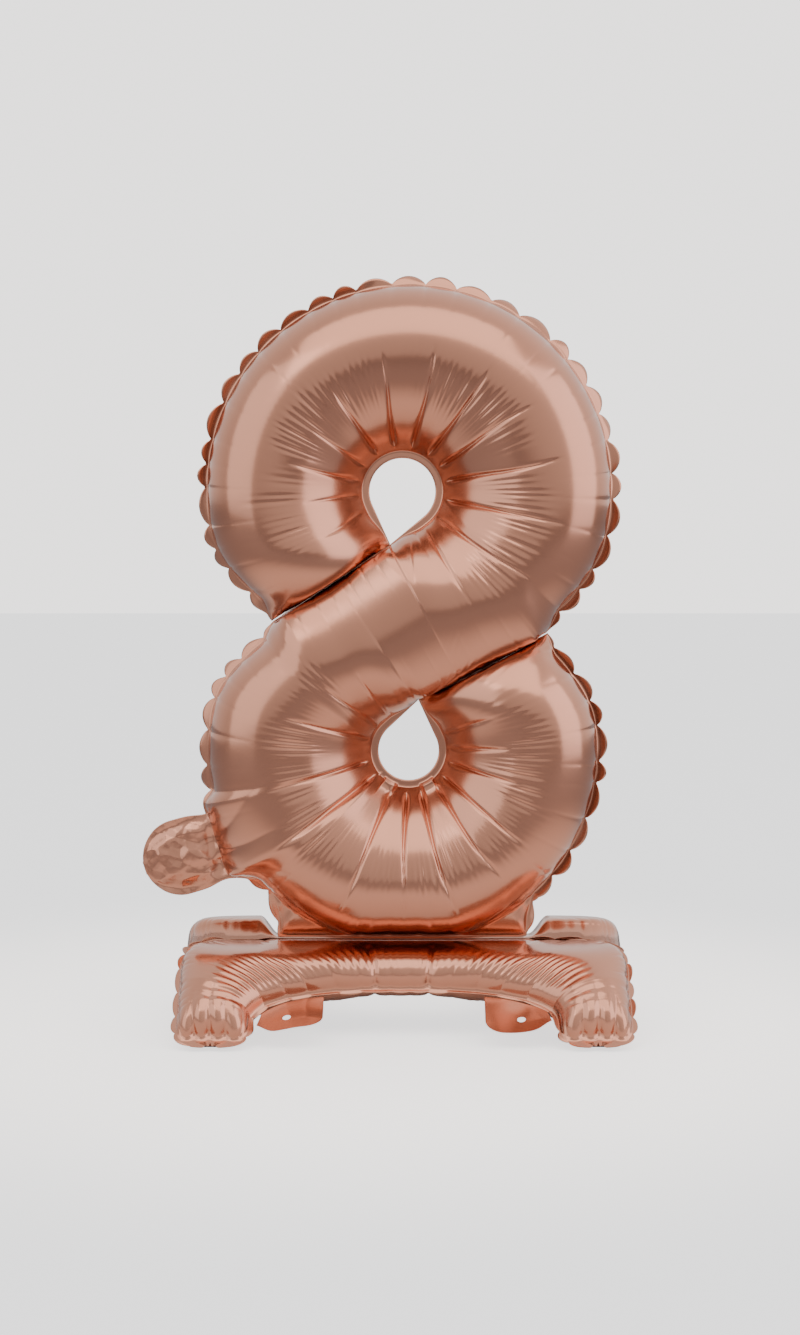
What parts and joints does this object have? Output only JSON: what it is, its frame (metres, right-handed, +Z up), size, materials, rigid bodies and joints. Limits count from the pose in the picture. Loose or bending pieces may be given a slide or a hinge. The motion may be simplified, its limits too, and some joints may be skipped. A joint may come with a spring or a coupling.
{
  "type": "foil number balloon",
  "caption": "Free-standing inflated foil figure eight with a filler tail, on two hinged cushion feet that carry punched tie tabs.",
  "frame": {"origin": "on the floor, under the middle of the whole width and depth", "axes": "+Z up, +X to the right as the figure is read, -Y out of the figure's front"},
  "size_m": [0.472, 0.248, 0.72],
  "materials": {
    "rose_foil": "metallised polyester film, rose gold, glossy",
    "tab_foil": "flat metallised polyester film, rose gold",
    "valve_film": "clear polyethylene film, satin"
  },
  "bodies": {
    "number": {"number_front_film": "rose_foil", "number_back_film": "rose_foil", "valve_flap_front": "valve_film", "valve_flap_back": "valve_film"},
    "front_foot": {"front_foot_upper_film": "rose_foil", "front_foot_lower_film": "rose_foil"},
    "back_foot": {"back_foot_upper_film": "rose_foil", "back_foot_lower_film": "rose_foil"},
    "filler_tail": {"tail_front_film": "rose_foil", "tail_back_film": "rose_foil", "valve_inlet_front": "valve_film", "valve_inlet_back": "valve_film"},
    "front_left_tab": {"front_left_tab": "tab_foil"},
    "front_right_tab": {"front_right_tab": "tab_foil"},
    "back_left_tab": {"back_left_tab": "tab_foil"},
    "back_right_tab": {"back_right_tab": "tab_foil"}
  },
  "joints": [
    {"name": "front_foot_fold", "type": "hinge", "parent": "number", "child": "front_foot", "pos_m": [0.01755, 0, 0.084], "axis": [-1, 0, 0], "range_deg": [-8, 6]},
    {"name": "back_foot_fold", "type": "hinge", "parent": "number", "child": "back_foot", "pos_m": [0.01755, 0, 0.084], "axis": [1, 0, 0], "range_deg": [-8, 6]},
    {"name": "filler_tail_fold", "type": "hinge", "parent": "number", "child": "filler_tail", "pos_m": [-0.16456, 0, 0.17312], "axis": [0.2924, 0, -0.9563], "range_deg": [-90, 90], "stiffness_Nm_per_rad": 0.004},
    {"name": "front_left_tab_fold", "type": "hinge", "parent": "front_foot", "child": "front_left_tab", "pos_m": [-0.09245, -0.06611, 0.04107], "axis": [-1, 0, 0], "range_deg": [-30, 30], "stiffness_Nm_per_rad": 0.006},
    {"name": "front_right_tab_fold", "type": "hinge", "parent": "front_foot", "child": "front_right_tab", "pos_m": [0.12755, -0.06611, 0.04107], "axis": [-1, 0, 0], "range_deg": [-30, 30], "stiffness_Nm_per_rad": 0.006},
    {"name": "back_left_tab_fold", "type": "hinge", "parent": "back_foot", "child": "back_left_tab", "pos_m": [-0.09245, 0.06611, 0.04107], "axis": [1, 0, 0], "range_deg": [-30, 30], "stiffness_Nm_per_rad": 0.006},
    {"name": "back_right_tab_fold", "type": "hinge", "parent": "back_foot", "child": "back_right_tab", "pos_m": [0.12755, 0.06611, 0.04107], "axis": [1, 0, 0], "range_deg": [-30, 30], "stiffness_Nm_per_rad": 0.006}
  ]
}
